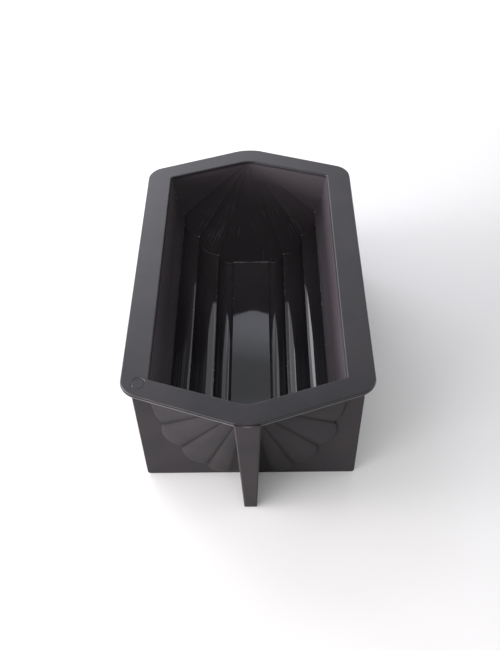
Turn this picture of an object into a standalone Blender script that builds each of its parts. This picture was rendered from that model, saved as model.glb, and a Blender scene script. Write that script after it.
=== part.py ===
"""Fluted loaf mould of soft silicone, moulded in one and modelled here as its natural features.

Frame: metres, +Z up, the origin on the table under the middle of the mould, the long axis along Y.
The mould stands on two cross panels and two fins. Between the panels its sides are fluted and its
floor is a flat strip. At each end the flutes close like a fan towards the pointed end of the rim.
"""
import math

import bmesh
import bpy
from mathutils import Matrix, Vector

# Rim and opening
RIM_HEIGHT = 0.0800          # top of the rim above the table
RIM_THICKNESS = 0.0020
OPENING_WIDTH = 0.1000
OPENING_LENGTH = 0.2000      # from point to point
OPENING_TAPER = 0.01665      # how far each pointed end runs out beyond the straight sides
OPENING_CORNER = 0.0012      # radius in plan, where a side meets the pointed end
OPENING_POINT = 0.0120       # radius in plan, at the point
SIDE_BORDER = 0.0146         # width of the rim beside the opening
CORNER_BORDER = 0.0076       # how far the rim's corners lie beyond the opening's, along the mould
POINT_BORDER = 0.0138        # how far the rim's points lie beyond the opening's
RIM_CORNER = 0.0110          # radius in plan
RIM_POINT = 0.0240           # radius in plan
RIM_EDGE = 0.0007            # rounding of the rim's edges

# Fluted section of the cavity
WALL = 0.0017
FLOOR_HEIGHT = 0.0050        # top of the floor above the table
FLOOR_WIDTH = 0.0240         # flat strip along the bottom
RIDGE_RADIUS = 0.0006        # rounding of the ridges between the flutes
# Each stretch of the wall, from the rim down: where it ends, as shares of the opening's half width
# and of the cavity's depth, and how far it bulges outwards, as a share of its chord.
UPPER_WALL_SHARES = (0.945, 0.280)
FLUTE_END_SHARES = ((0.860, 0.404), (0.696, 0.677), (0.446, 0.904))
FLUTE_BULGE_SHARES = (0.240, 0.250, 0.300)
FAN_STEP = 0.0012            # how far the outside of a fan stands out from its panel before it closes
FAN_SHOULDER = 0.0010        # rounding where it starts to close

# Cross panels that carry the mould
PANEL_BEYOND_SIDE = 0.00425  # from the end of the opening's straight side to a panel's outer face
PANEL_THICKNESS = 0.0034
PANEL_FOOT_SETBACK = 0.00585 # from the rim's side in to the panel's foot
PANEL_TOP_SETBACK = 0.00525  # from the rim's side in to the panel's top
PANEL_CORNER = 0.0018        # radius of the corners on the table
PANEL_EDGE = 0.0004          # rounding of the outer face's edges

# Fins under the points of the rim
FIN_FOOT_SETBACK = 0.0038    # from the rim's point back to the foot of the fin's front edge
FIN_TOP_SETBACK = 0.0015     # from the rim's point back to the top of that edge
FIN_FOOT_THICKNESS = 0.0071
FIN_TOP_THICKNESS = 0.0131
FIN_EDGE = 0.0006            # rounding of the fin's edges

# Recessed ring on the rim, near one corner of the opening
MARK_BESIDE = 0.0052         # from the opening's side to the middle of the ring
MARK_BEYOND = 0.00265        # from the end of that side to it, along the mould
MARK_DIAMETER = 0.0078
MARK_LINE = 0.0005
MARK_DEPTH = 0.0003

CLEARANCE = 0.0003           # between neighbouring solids

# Facets
ARC_STEPS = 12               # round each flute and each corner of the rim
RIDGE_STEPS = 3              # round each ridge
SHOULDER_STEPS = 3           # over the shoulder of each fan
EDGE_STEPS = 3               # over each rounded edge
CORNER_STEPS = 5             # round each corner of a panel
RING_STEPS = 48              # round the recessed ring
SHARP_ANGLE = math.radians(28)
FLAT_ANGLE = math.radians(0.2)   # faces that turn less than this are one flat face

# Finish
CHARCOAL = (0.068, 0.062, 0.066)
SATIN_ROUGHNESS = 0.48
GLOSS_ROUGHNESS = 0.22

HALF_OPENING = OPENING_WIDTH / 2
CAVITY_DEPTH = RIM_HEIGHT - FLOOR_HEIGHT
RIM_UNDERSIDE = RIM_HEIGHT - RIM_THICKNESS
UNDER_RIM = RIM_UNDERSIDE - CLEARANCE
INNER_POINT = OPENING_LENGTH / 2
INNER_CREASE = INNER_POINT - OPENING_TAPER
RIM_SIDE = HALF_OPENING + SIDE_BORDER
RIM_REACH = INNER_POINT + POINT_BORDER
PANEL_FRONT = INNER_CREASE + PANEL_BEYOND_SIDE
BEYOND = 0.010               # how far a cutter runs past what it cuts


def silicone(name, roughness):
    """Make one piece's silicone finish."""
    finish = bpy.data.materials.new(name)
    finish.use_nodes = True
    shader = finish.node_tree.nodes["Principled BSDF"]
    shader.inputs["Base Color"].default_value = (*CHARCOAL, 1.0)
    shader.inputs["Roughness"].default_value = roughness
    shader.inputs["Metallic"].default_value = 0.0
    return finish


def make_object(name, mesh_data, finish=None):
    """Turn a bmesh into a named object in the scene."""
    bmesh.ops.recalc_face_normals(mesh_data, faces=mesh_data.faces)
    mesh = bpy.data.meshes.new(name)
    mesh_data.to_mesh(mesh)
    mesh_data.free()
    obj = bpy.data.objects.new(name, mesh)
    bpy.context.scene.collection.objects.link(obj)
    if finish:
        mesh.materials.append(finish)
    return obj


def as_cutter(obj):
    """Mark an object as a cutter, which isn't part of the mould."""
    obj.hide_render = True
    obj.display_type = "WIRE"
    return obj


def cut(obj, cutter, operation="DIFFERENCE"):
    """Add an exact Boolean to an object."""
    step = obj.modifiers.new(operation.title(), "BOOLEAN")
    step.operation = operation
    step.solver = "EXACT"
    step.object = cutter


def smooth_rounds(obj):
    """Shade the round faces smooth and keep the real edges sharp."""
    obj.data.shade_smooth()
    obj.data.set_sharp_from_angle(angle=SHARP_ANGLE)


def round_edges(shape, edges, width):
    """Round some edges of a bmesh, once its faces all point the same way."""
    bmesh.ops.recalc_face_normals(shape, faces=shape.faces)
    bmesh.ops.bevel(shape, geom=edges, offset=width, segments=EDGE_STEPS, profile=0.5, affect="EDGES",
                    material=-1)


def extrude_along(shape, face, distance):
    """Extrude a face along Y, leave it as the other end, and return the new face."""
    grown = bmesh.ops.extrude_face_region(shape, geom=[face], use_keep_orig=True)["geom"]
    moved = [item for item in grown if isinstance(item, bmesh.types.BMVert)]
    bmesh.ops.translate(shape, verts=moved, vec=(0.0, distance, 0.0))
    return next(item for item in grown if isinstance(item, bmesh.types.BMFace))


def strip(shape, first, second):
    """Join two matching loops of vertices with a strip of faces."""
    for i in range(len(first)):
        shape.faces.new((first[i - 1], first[i], second[i], second[i - 1]))


def meet(centre_a, radius_a, centre_b, radius_b):
    """Return the crossing of two circles that lies on the outer side of the wall."""
    across = centre_b - centre_a
    distance = across.length
    along = (radius_a ** 2 - radius_b ** 2 + distance ** 2) / (2 * distance)
    aside = math.sqrt(max(radius_a ** 2 - along ** 2, 0.0))
    step = across / distance
    return centre_a + step * along + Vector((-step.y, step.x)) * aside


def tangent_circle(touch, normal, end):
    """Return the circle that touches a straight wall at one point and ends at another."""
    chord = end - touch
    radius = chord.length_squared / (-2 * chord.dot(normal))
    return touch - normal * radius, radius


def bulged_circle(start, end, bulge):
    """Return the circle of a flute from its two ends and its bulge."""
    chord = end - start
    sagitta = bulge * chord.length
    radius = (chord.length_squared / 4 + sagitta ** 2) / (2 * sagitta)
    outward = Vector((-chord.y, chord.x)).normalized()
    return start + chord / 2 - outward * (radius - sagitta), radius


def flute_circles():
    """Return the upper wall's foot, its normal, and the circle of each flute, from the rim down."""
    def place(shares):
        return Vector((HALF_OPENING * shares[0], RIM_HEIGHT - CAVITY_DEPTH * shares[1]))

    rim = place((1.0, 0.0))
    foot = place(UPPER_WALL_SHARES)
    run = (foot - rim).normalized()
    normal = Vector((-run.y, run.x))
    ends = [place(shares) for shares in FLUTE_END_SHARES] + [Vector((FLOOR_WIDTH / 2, FLOOR_HEIGHT))]
    circles = [tangent_circle(foot, normal, ends[0])]
    for start, end, bulge in zip(ends, ends[1:], FLUTE_BULGE_SHARES):
        circles.append(bulged_circle(start, end, bulge))
    return foot, normal, circles


def arc(centre, radius, start, end, steps):
    """Return points on a circle from one direction to another, the shorter way round."""
    first = math.atan2(start.y - centre.y, start.x - centre.x)
    turn = math.atan2(end.y - centre.y, end.x - centre.x) - first
    turn = (turn + math.pi) % (2 * math.pi) - math.pi
    angles = [first + turn * i / steps for i in range(steps + 1)]
    return [centre + radius * Vector((math.cos(a), math.sin(a))) for a in angles]


def ridge_centre(circle, below, offset):
    """Return the centre of the rounding between a flute and what lies below it, a flute or the floor."""
    centre, radius = circle
    reach = radius + offset + RIDGE_RADIUS
    if below:
        return meet(centre, reach, below[0], below[1] + offset + RIDGE_RADIUS)
    level = FLOOR_HEIGHT - offset - RIDGE_RADIUS
    return Vector((centre.x - math.sqrt(reach ** 2 - (centre.y - level) ** 2), level))


def touch_point(circle, ridge, offset):
    """Return where a flute touches the rounding of a ridge."""
    centre, radius = circle
    grown = radius + offset
    return centre + (ridge - centre) * (grown / (grown + RIDGE_RADIUS))


def half_section(offset):
    """Return one half of the fluted section, grown outwards by an offset, from rim to floor."""
    foot, normal, circles = flute_circles()
    start = foot + normal * offset
    points = [Vector((start.x - (RIM_HEIGHT - start.y) * normal.y / normal.x, RIM_HEIGHT))]
    for circle, below in zip(circles, circles[1:] + [None]):
        ridge = ridge_centre(circle, below, offset)
        end = touch_point(circle, ridge, offset)
        points += arc(circle[0], circle[1] + offset, start, end, ARC_STEPS)
        start = touch_point(below, ridge, offset) if below else ridge + Vector((0.0, RIDGE_RADIUS))
        points += arc(ridge, RIDGE_RADIUS, end, start, RIDGE_STEPS)[1:-1]
    points.append(start)
    return points


def shoulder(crease, point):
    """Return the stations over a fan's rounded shoulder.

    Each is a distance along the mould and the section's size there, as a share of the full one. The
    rounding takes as much off the straight part as off the widest part of the fan.
    """
    share = FAN_SHOULDER / (HALF_OPENING + WALL)
    stations = []
    for i in range(SHOULDER_STEPS + 1):
        t = i / SHOULDER_STEPS
        along = crease - FAN_SHOULDER * (1 - t) ** 2 + (point - crease) * share * t ** 2
        stations.append((along, 1.0 - share * t ** 2))
    return stations


def loaf_form(name, offset, stations, point):
    """Make the cavity's form, grown by an offset: a fluted prism that closes to a point at each end.

    The section runs through the stations at both ends, and each end closes from the last of them.
    """
    right = half_section(offset)
    outline = right + [Vector((-p.x, p.y)) for p in reversed(right)]
    ends = [(-along, share) for along, share in reversed(stations)]
    shape = bmesh.new()
    rings = []
    for along, share in ends + stations:
        rings.append([shape.verts.new((p.x * share, along, RIM_HEIGHT - (RIM_HEIGHT - p.y) * share))
                      for p in outline])
    for first, second in zip(rings, rings[1:]):
        strip(shape, first, second)
    for ring, side in ((rings[0], -1), (rings[-1], 1)):
        tip = bmesh.ops.poke(shape, faces=[shape.faces.new(ring)])["verts"][0]
        tip.co = (0.0, side * point, RIM_HEIGHT)
    return as_cutter(make_object(name, shape))


def outside_form(name, extra):
    """Make the outside of the moulded body, with some room round it."""
    point = INNER_POINT + WALL + extra
    return loaf_form(name, WALL + extra, shoulder(PANEL_FRONT + FAN_STEP + extra, point), point)


def block(name, low, high):
    """Make a box between two corners, for cutting."""
    shape = bmesh.new()
    size = Vector(high) - Vector(low)
    place = Matrix.Translation((Vector(high) + Vector(low)) / 2) @ Matrix.Diagonal((*size, 1.0))
    bmesh.ops.create_cube(shape, size=1.0, matrix=place)
    return as_cutter(make_object(name, shape))


def shell_piece(name, zone, outside, cavity, finish):
    """Make a piece of the moulded body: the outside inside a zone, less the cavity."""
    piece = bpy.data.objects.new(name, outside.data.copy())
    bpy.context.scene.collection.objects.link(piece)
    piece.data.materials.append(finish)
    cut(piece, zone, "INTERSECT")
    cut(piece, cavity)
    smooth_rounds(piece)
    return piece


def rounded_outline(half_width, side, point, corner_radius, point_radius):
    """Return a pointed six-sided outline with rounded corners, anticlockwise."""
    corners = [(half_width, -side, corner_radius), (half_width, side, corner_radius),
               (0.0, point, point_radius), (-half_width, side, corner_radius),
               (-half_width, -side, corner_radius), (0.0, -point, point_radius)]
    outline = []
    for i, (x, y, radius) in enumerate(corners):
        corner = Vector((x, y))
        before = (Vector(corners[i - 1][:2]) - corner).normalized()
        after = (Vector(corners[(i + 1) % len(corners)][:2]) - corner).normalized()
        half_angle = before.angle(after) / 2
        centre = corner + (before + after).normalized() * (radius / math.sin(half_angle))
        run = radius / math.tan(half_angle)
        outline += arc(centre, radius, corner + before * run, corner + after * run, ARC_STEPS)
    return outline


def rim_flange(finish):
    """Make the flat pointed rim round the opening, with its recessed ring."""
    wall_lean = HALF_OPENING * (1.0 - UPPER_WALL_SHARES[0]) / (CAVITY_DEPTH * UPPER_WALL_SHARES[1])
    fan_lean = (INNER_POINT - INNER_CREASE) / CAVITY_DEPTH
    outer = rounded_outline(RIM_SIDE, INNER_CREASE + CORNER_BORDER, RIM_REACH, RIM_CORNER, RIM_POINT)
    shape = bmesh.new()
    loops = []
    for height in (RIM_HEIGHT, RIM_UNDERSIDE):
        drop = RIM_HEIGHT - height
        inner = rounded_outline(HALF_OPENING - drop * wall_lean, INNER_CREASE,
                                INNER_POINT - drop * fan_lean, OPENING_CORNER, OPENING_POINT)
        loops += [[shape.verts.new((p.x, p.y, height)) for p in outline] for outline in (outer, inner)]
    top_outer, top_inner, low_outer, low_inner = loops
    for first, second in ((top_outer, top_inner), (low_outer, low_inner), (top_outer, low_outer),
                          (top_inner, low_inner)):
        strip(shape, first, second)
    rounded = [shape.edges.get((loop[i - 1], loop[i])) for loop in (top_outer, low_outer, top_inner)
               for i in range(len(loop))]
    round_edges(shape, rounded, min(RIM_EDGE, RIM_THICKNESS / 3))
    bmesh.ops.dissolve_limit(shape, angle_limit=FLAT_ANGLE, verts=shape.verts, edges=shape.edges)
    rim = make_object("rim_flange", shape, finish)
    cut(rim, ring_recess())
    smooth_rounds(rim)
    return rim


def ring_recess():
    """Make the cutter of the recessed ring."""
    shape = bmesh.new()
    middle = (-HALF_OPENING - MARK_BESIDE, -INNER_CREASE - MARK_BEYOND, RIM_HEIGHT)
    outer = MARK_DIAMETER / 2
    inner = outer - MARK_LINE
    corners = ((inner, BEYOND), (outer, BEYOND), (outer, -MARK_DEPTH), (inner, -MARK_DEPTH))
    verts = [shape.verts.new((x, 0.0, z)) for x, z in corners]
    edges = [shape.edges.new((verts[i - 1], verts[i])) for i in range(len(verts))]
    bmesh.ops.spin(shape, geom=verts + edges, axis=(0, 0, 1), cent=(0, 0, 0), angle=2 * math.pi,
                   steps=RING_STEPS, use_merge=True)
    bmesh.ops.translate(shape, verts=shape.verts, vec=middle)
    return as_cutter(make_object("ring_cutter", shape))


def cross_panel(name, side, room, finish):
    """Make a cross panel that carries one end of the mould, side -1 in front and 1 behind."""
    foot = RIM_SIDE - PANEL_FOOT_SETBACK
    top = RIM_SIDE - PANEL_TOP_SETBACK
    back = side * (PANEL_FRONT - PANEL_THICKNESS)
    shape = bmesh.new()
    corners = ((-foot, 0.0), (foot, 0.0), (top, UNDER_RIM), (-top, UNDER_RIM))
    verts = [shape.verts.new((x, back, z)) for x, z in corners]
    shape.faces.new(verts)
    bmesh.ops.bevel(shape, geom=verts[:2], offset=PANEL_CORNER, segments=CORNER_STEPS, profile=0.5,
                    affect="VERTICES", material=-1)
    outer_face = extrude_along(shape, shape.faces[:][0], side * PANEL_THICKNESS)
    round_edges(shape, list(outer_face.edges), PANEL_EDGE)
    panel = make_object(name, shape, finish)
    cut(panel, room)
    smooth_rounds(panel)
    return panel


def fin(name, side, room, finish):
    """Make the tapered fin under one point of the rim, cut to the fan behind it."""
    back = side * (PANEL_FRONT + CLEARANCE)
    rings = []
    shape = bmesh.new()
    for height, thickness, setback in ((0.0, FIN_FOOT_THICKNESS, FIN_FOOT_SETBACK),
                                       (UNDER_RIM, FIN_TOP_THICKNESS, FIN_TOP_SETBACK)):
        reach = side * (RIM_REACH - setback)
        corners = ((-thickness / 2, back), (thickness / 2, back), (thickness / 2, reach),
                   (-thickness / 2, reach))
        rings.append([shape.verts.new((x, y, height)) for x, y in corners])
    low, high = rings
    shape.faces.new(low)
    top = shape.faces.new(high)
    walls = [shape.faces.new((low[i - 1], low[i], high[i], high[i - 1])) for i in range(4)]
    front = walls[3]
    round_edges(shape, [edge for edge in front.edges if edge not in top.edges[:]], FIN_EDGE)
    blade = make_object(name, shape, finish)
    cut(blade, room)
    smooth_rounds(blade)
    return blade


def main():
    """Build the mould."""
    for old in list(bpy.data.objects):
        bpy.data.objects.remove(old, do_unlink=True)
    cavity = loaf_form("cavity_form", 0.0, [(INNER_CREASE, 1.0)], INNER_POINT)
    outside = outside_form("outside_form", 0.0)
    room = outside_form("outside_room", CLEARANCE)
    seam = INNER_CREASE - CLEARANCE / 2
    floor_side = FLOOR_WIDTH / 2 - CLEARANCE / 2
    side_start = floor_side + CLEARANCE
    for name, low, high in (("left_fluted_side", -RIM_SIDE, -side_start),
                            ("floor_strip", -floor_side, floor_side),
                            ("right_fluted_side", side_start, RIM_SIDE)):
        zone = block(name + "_zone", (low, -seam, -BEYOND), (high, seam, UNDER_RIM))
        shell_piece(name, zone, outside, cavity, silicone(name + "_silicone", GLOSS_ROUGHNESS))
    rim_flange(silicone("rim_silicone", SATIN_ROUGHNESS))
    for place, side in (("front", -1), ("rear", 1)):
        low, high = sorted((side * (seam + CLEARANCE), side * RIM_REACH))
        zone = block(place + "_zone", (-RIM_SIDE, low, -BEYOND), (RIM_SIDE, high, UNDER_RIM))
        shell_piece(place + "_fan_end", zone, outside, cavity,
                    silicone(place + "_fan_silicone", GLOSS_ROUGHNESS))
        cross_panel(place + "_support_panel", side, room,
                    silicone(place + "_panel_silicone", SATIN_ROUGHNESS))
        fin(place + "_fin", side, room, silicone(place + "_fin_silicone", SATIN_ROUGHNESS))


main()
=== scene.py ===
"""Dressed model of a fluted silicone loaf mould on a pale studio floor.

Metres, +Z up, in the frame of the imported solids: the long axis along Y, the origin on the table
under the middle of the mould, the front end towards -Y.
"""
import logging
import math
from dataclasses import dataclass
from enum import Enum

import bmesh
import bpy
from mathutils import Matrix, Vector


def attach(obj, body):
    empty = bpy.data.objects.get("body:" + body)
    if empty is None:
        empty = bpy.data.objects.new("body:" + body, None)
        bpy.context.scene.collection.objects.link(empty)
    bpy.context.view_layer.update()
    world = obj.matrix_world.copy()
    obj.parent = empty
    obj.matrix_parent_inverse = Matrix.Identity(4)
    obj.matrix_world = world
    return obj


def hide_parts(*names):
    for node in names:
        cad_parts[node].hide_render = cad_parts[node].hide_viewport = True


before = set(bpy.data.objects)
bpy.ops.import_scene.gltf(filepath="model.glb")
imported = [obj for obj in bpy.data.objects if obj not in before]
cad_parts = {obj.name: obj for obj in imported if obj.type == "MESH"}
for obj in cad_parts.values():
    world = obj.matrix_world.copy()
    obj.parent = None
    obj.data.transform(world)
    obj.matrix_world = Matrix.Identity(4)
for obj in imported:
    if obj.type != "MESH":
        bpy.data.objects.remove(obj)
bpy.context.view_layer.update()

LOG = logging.getLogger("loaf_mould")
NEAR = 1e-6                       # metres: places closer than this are one place
SHARP_ANGLE = math.radians(32)    # edges that turn by more than this stay sharp
Colour = tuple[float, float, float]
# The colour of the painted shade in the creases between the lobes
BLACK: Colour = (0.0, 0.0, 0.0)


class Way(Enum):
    """A direction along one of the mould's axes."""

    @property
    def word(self) -> str:
        """The direction's name, as it is used in piece and node names."""
        return self.name.lower()


class End(Way):
    """An end of the mould, by its direction along Y."""

    FRONT = -1
    REAR = 1


class Side(Way):
    """A side of the mould, by its direction along X."""

    LEFT = -1
    RIGHT = 1


class Slot(Enum):
    """The record's material slots."""

    SATIN = "satin_silicone"
    GLOSS = "gloss_silicone"


class Skin(Enum):
    """Which surface of the moulded wall a vertex lies on, as kept in a mesh layer."""

    CAVITY = 0
    OUTSIDE = 1


class Cut(Enum):
    """What a Boolean tool does to a piece."""

    TAKE_AWAY = "DIFFERENCE"
    UNITE = "UNION"


class Round(Enum):
    """What a bevel rounds."""

    EDGES = "EDGES"
    CORNERS = "VERTICES"


class Mark(Enum):
    """What the moulded wall keeps at each vertex, for its finish to follow."""

    ACROSS = "across"    # metres round the section, from the rim down
    ALONG = "along"      # metres along the flute
    RIDGE = "ridge"      # 1 on the ridges between the flutes; on the outside, painted shade in the creases between the lobes, fading beside them
    CREASE = "crease"    # 1 on the rounded edge where a fan starts to close

    def layer(self, shape: bmesh.types.BMesh) -> bmesh.types.BMLayerItem:
        """Return the mark's layer in a mesh, new where the mesh has none."""
        layers = shape.verts.layers.float
        return layers.get(self.value) or layers.new(self.value)


# Finishes


class Value:
    """A socket of a node graph that takes part in Python arithmetic."""

    def __init__(self, graph: "Graph", socket: bpy.types.NodeSocket) -> None:
        """Hold a socket and the graph that it is in."""
        self.graph = graph
        self.socket = socket

    def _maths(self, operation: str, *terms: "Value | float") -> "Value":
        """Add one Math node and return its result."""
        return self.graph.node("ShaderNodeMath", {"operation": operation}, dict(enumerate(terms)))

    def __add__(self, other: "Value | float") -> "Value":
        """Add a value or a number."""
        return self._maths("ADD", self, other)

    def __sub__(self, other: "Value | float") -> "Value":
        """Take away a value or a number."""
        return self._maths("SUBTRACT", self, other)

    def __rsub__(self, other: float) -> "Value":
        """Take this value away from a number."""
        return self._maths("SUBTRACT", other, self)

    def __mul__(self, other: "Value | float") -> "Value":
        """Multiply by a value or a number."""
        return self._maths("MULTIPLY", self, other)

    def larger(self, other: "Value | float") -> "Value":
        """Return the larger of two values."""
        return self._maths("MAXIMUM", self, other)

    def size(self) -> "Value":
        """Return the value without its sign."""
        return self._maths("ABSOLUTE", self)

    def above(self, low: float, high: float) -> "Value":
        """Return 0 below one level and 1 above another, smoothly between them."""
        return self.graph.node("ShaderNodeMapRange", {"interpolation_type": "SMOOTHSTEP"},
                               {"Value": self, "From Min": low, "From Max": high})


class Graph:
    """The node graph of one finish, round its Principled shader."""

    def __init__(self, name: str) -> None:
        """Start a material with an empty graph.

        Args:
            name: The material's name.
        """
        self.material = bpy.data.materials.new(name)
        self.material.use_nodes = True
        self.tree = self.material.node_tree
        self.shader = self.tree.nodes["Principled BSDF"]

    def node(self, kind: str, settings: dict | None = None, sockets: dict | None = None,
             output: int | str = 0) -> Value:
        """Add a node.

        Args:
            kind: The node's type.
            settings: Its options, which are set first.
            sockets: The values or links of its inputs, by name or number.
            output: The number or name of the output that is wanted.

        Returns:
            The wanted output.
        """
        made = self.tree.nodes.new(kind)
        for option, choice in (settings or {}).items():
            setattr(made, option, choice)
        for key, value in (sockets or {}).items():
            self.feed(made.inputs[key], value)
        return Value(self, made.outputs[output])

    def feed(self, socket: bpy.types.NodeSocket, value: "Value | float | Colour") -> None:
        """Link a value to a socket, or set the socket's own number or colour.

        Args:
            socket: The socket.
            value: What it gets.
        """
        if isinstance(value, Value):
            self.tree.links.new(value.socket, socket)
        else:
            socket.default_value = value

    def noise(self, size: float, detail: float) -> Value:
        """Return soft noise from 0 to 1 whose lumps are about one size across."""
        here = self.node("ShaderNodeTexCoord", output="Object")
        return self.node("ShaderNodeTexNoise", {}, {"Vector": here, "Scale": 1.0 / size, "Detail": detail})

    def mark(self, mark: Mark) -> Value:
        """Return what the mesh keeps of a mark."""
        return self.node("ShaderNodeAttribute", {"attribute_name": mark.value}, output="Fac")

    def mix(self, share: Value, first: "Value | Colour", second: "Value | Colour") -> Value:
        """Return a colour between two, by a share from 0 to 1."""
        ends = [end if isinstance(end, Value) else (*end, 1.0) for end in (first, second)]
        # Numbers, because the node's colour sockets have the same names as its others
        return self.node("ShaderNodeMix", {"data_type": "RGBA"}, {0: share, 6: ends[0], 7: ends[1]},
                         output=2)

    def flow(self, across: float, along: float, detail: float = 2.0) -> Value:
        """Return noise that runs with the flutes.

        Args:
            across: The size of its lumps round the section.
            along: Their size along the flutes.
            detail: How much finer noise it holds.

        Returns:
            The noise.
        """
        spot = self.node("ShaderNodeCombineXYZ", {}, {0: self.mark(Mark.ACROSS) * (1.0 / across),
                                                      1: self.mark(Mark.ALONG) * (1.0 / along)})
        return self.node("ShaderNodeTexNoise", {}, {"Vector": spot, "Scale": 1.0, "Detail": detail})

    def dress(self, **sockets: "Value | float | Colour") -> None:
        """Feed the shader, with each socket's name in lower case and joined by underscores.

        Args:
            sockets: What each socket gets.
        """
        names = {entry.name.lower().replace(" ", "_"): entry for entry in self.shader.inputs}
        for key, value in sockets.items():
            self.feed(names[key], value)


@dataclass(frozen=True)
class SatinSilicone:
    """Charcoal silicone with the fine blasted grain of its tool, in faint warm and cool clouds."""

    name: str
    cool: Colour
    warm: Colour
    roughness: float
    ior: float = 1.42
    roughness_spread: float = 0.08
    grain_size: float = 0.00045
    grain_depth: float = 0.000012
    cloud_size: float = 0.018
    cloud_depth: float = 0.00005
    crease_shade: float = 0.0        # how dark the painted shade in the creases between the lobes is
    cloud_level: tuple[float, float] = (0.35, 0.68)
    cloud_share: float = 0.75        # of the clouds in the tone; the grain has the rest

    def material(self) -> bpy.types.Material:
        """Return the finish as a material.

        Returns:
            The material, ready for a mesh.
        """
        graph = Graph(self.name)
        clouds = graph.noise(self.cloud_size, detail=3.0)
        grain = graph.noise(self.grain_size, detail=2.0)
        tone = clouds.above(*self.cloud_level) * self.cloud_share + grain * (1.0 - self.cloud_share)
        fine = graph.node("ShaderNodeBump", {}, {"Strength": 1.0, "Distance": self.grain_depth,
                                                 "Height": grain})
        waves = graph.node("ShaderNodeBump", {}, {"Strength": 1.0, "Distance": self.cloud_depth,
                                                  "Height": clouds, "Normal": fine})
        plain = graph.mix(tone, self.cool, self.warm)
        # Painted shade: the creases between the lobes are darkened towards black
        shade = graph.mark(Mark.RIDGE) * self.crease_shade
        smoothest = self.roughness - self.roughness_spread / 2
        graph.dress(base_color=graph.mix(shade, plain, BLACK),
                    roughness=clouds * self.roughness_spread + smoothest, normal=waves, ior=self.ior)
        return graph.material


RIM_SILICONE = SatinSilicone("rim_silicone", cool=(0.0145, 0.0140, 0.0164),
                             warm=(0.0225, 0.0190, 0.0212), roughness=0.36)
OUTER_SILICONE = SatinSilicone("outer_silicone", cool=(0.0270, 0.0255, 0.0280),
                               warm=(0.0355, 0.0305, 0.0330), roughness=0.50, ior=1.20,
                               crease_shade=0.6)
# The parting line's pale finish is a painted highlight along the rim's lower edge
FLASH_PAINTED_HIGHLIGHT = SatinSilicone("flash_silicone", cool=(0.0900, 0.0880, 0.0920),
                               warm=(0.1200, 0.1160, 0.1200), roughness=0.30)


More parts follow.
